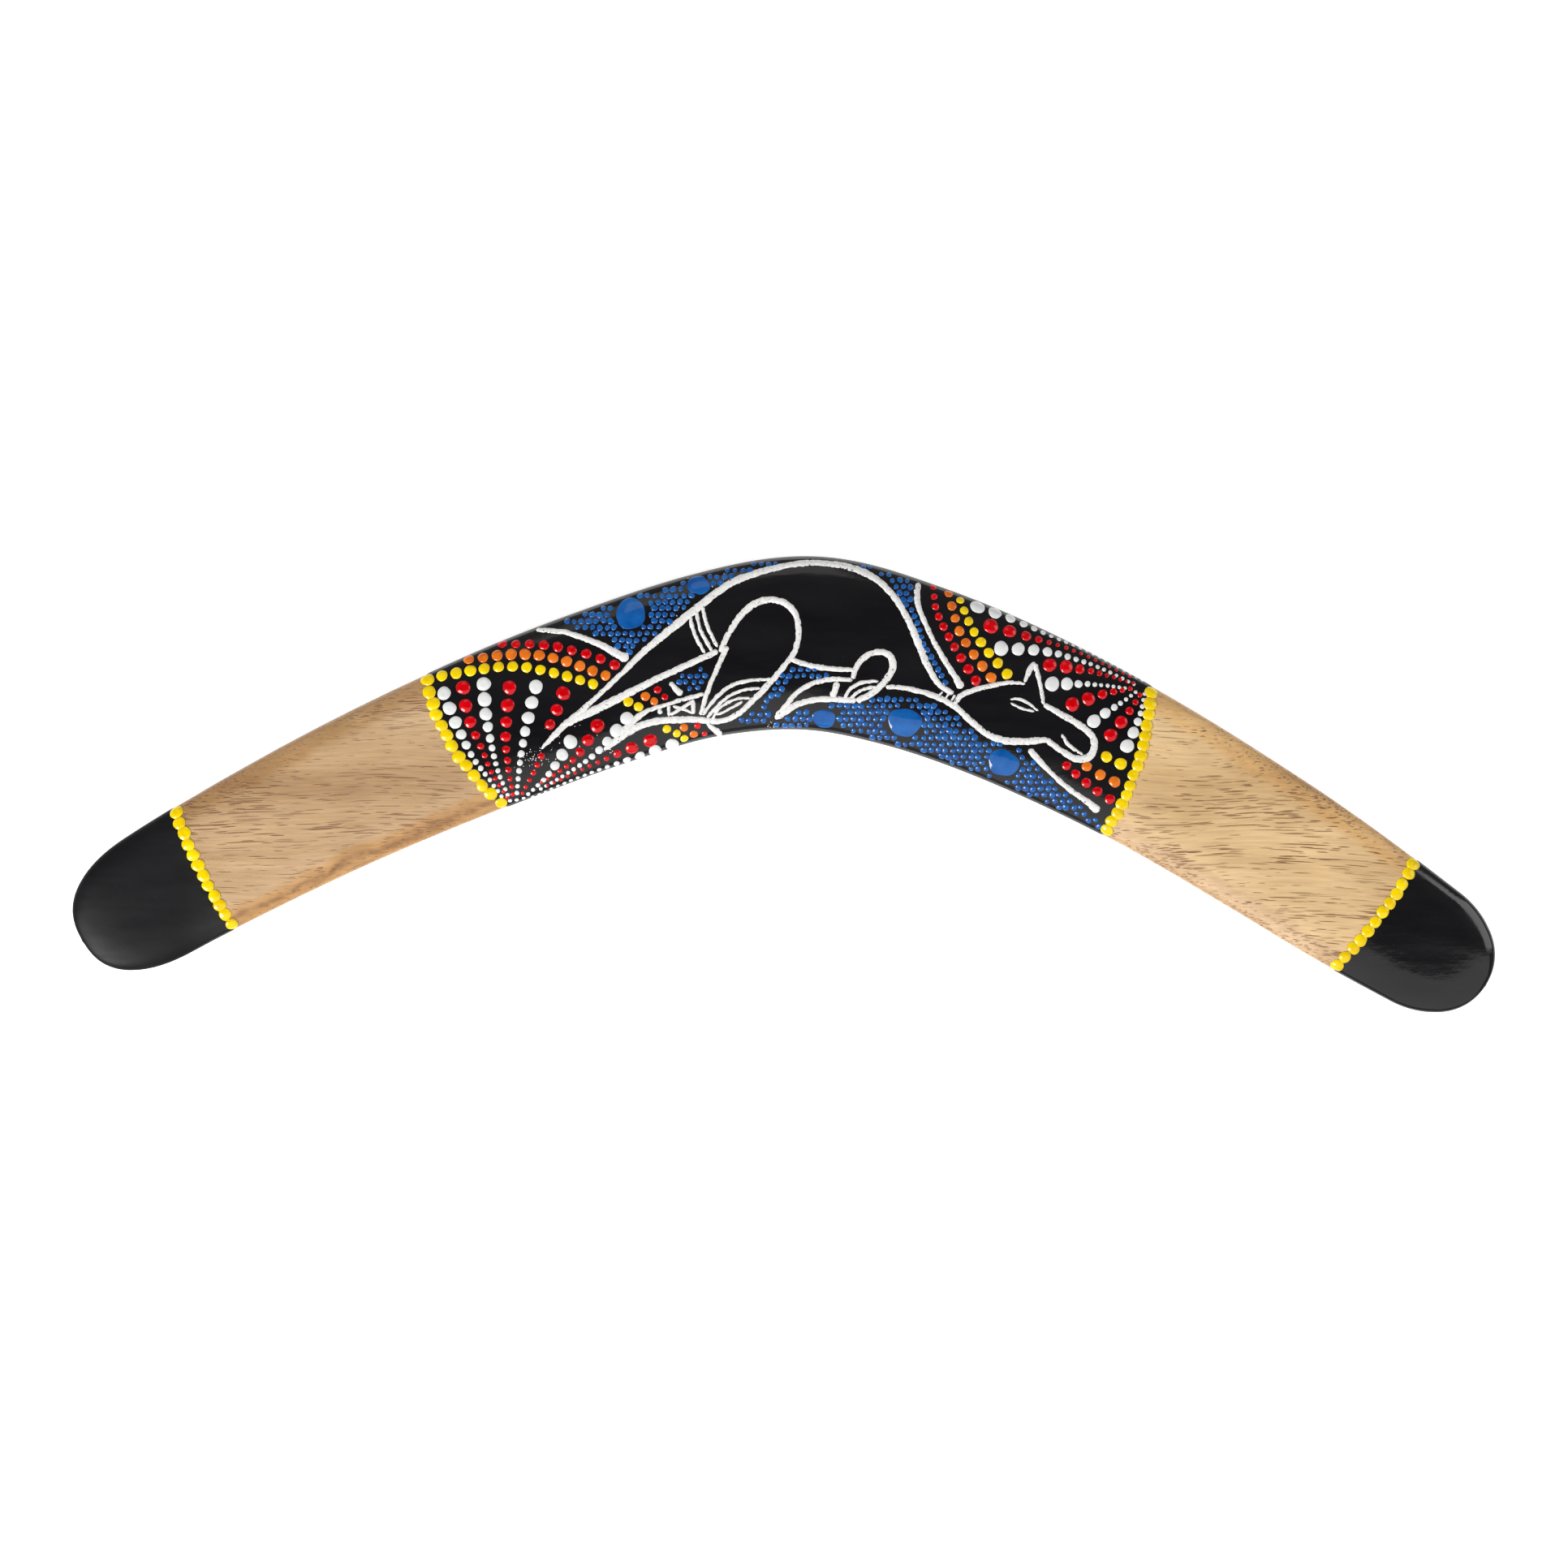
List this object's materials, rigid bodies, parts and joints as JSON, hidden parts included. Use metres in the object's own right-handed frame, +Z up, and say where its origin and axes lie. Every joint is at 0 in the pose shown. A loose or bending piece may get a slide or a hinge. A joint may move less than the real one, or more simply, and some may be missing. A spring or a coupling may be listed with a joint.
{
  "type": "boomerang",
  "caption": "Two-armed carved wooden boomerang with bevelled top, flat back, black painted tips and elbow, and raised dot painting.",
  "frame": {"origin": "centre of the bounding box, on the table plane that the flat back rests on", "axes": "+X from the left tip to the right tip, +Y towards the outside of the elbow, +Z up out of the painted top"},
  "size_m": [0.3995, 0.1281, 0.0099],
  "materials": {
    "varnished_wood": "satin varnish over pale wood with brown pores along the span",
    "black_gloss_paint": "brushed black gloss enamel with a fine orange peel",
    "yellow_dot_paint": "raised glossy dots",
    "orange_dot_paint": "raised glossy dots",
    "red_dot_paint": "raised glossy dots",
    "blue_dot_paint": "raised glossy dots",
    "white_dot_paint": "raised satin dots",
    "white_line_paint": "brushed satin lines with rough edges"
  },
  "bodies": {
    "root": {"wood_blank": "varnished_wood", "left_tip_coat": "black_gloss_paint", "centre_coat": "black_gloss_paint", "right_tip_coat": "black_gloss_paint", "left_tip_border": "yellow_dot_paint", "left_panel_border": "yellow_dot_paint", "right_panel_border": "yellow_dot_paint", "right_tip_border": "yellow_dot_paint", "left_fan_white_rays": "white_dot_paint", "left_fan_red_rays": "red_dot_paint", "left_fan_yellow_arc": "yellow_dot_paint", "left_fan_orange_arc": "orange_dot_paint", "left_fan_red_arc": "red_dot_paint", "right_fan_white_rays": "white_dot_paint", "right_fan_red_rays": "red_dot_paint", "right_fan_yellow_arc": "yellow_dot_paint", "right_fan_orange_arc": "orange_dot_paint", "right_fan_red_arc": "red_dot_paint", "accent_yellow_dots": "yellow_dot_paint", "accent_orange_dots": "orange_dot_paint", "accent_red_dots": "red_dot_paint", "divider_lines": "white_line_paint", "kangaroo_body_lines": "white_line_paint", "kangaroo_head_lines": "white_line_paint", "kangaroo_arm_lines": "white_line_paint", "kangaroo_leg_lines": "white_line_paint", "kangaroo_tail_bands": "white_line_paint", "large_blue_dots": "blue_dot_paint", "upper_blue_stipple": "blue_dot_paint", "middle_blue_stipple": "blue_dot_paint", "lower_blue_stipple": "blue_dot_paint"}
  },
  "joints": []
}
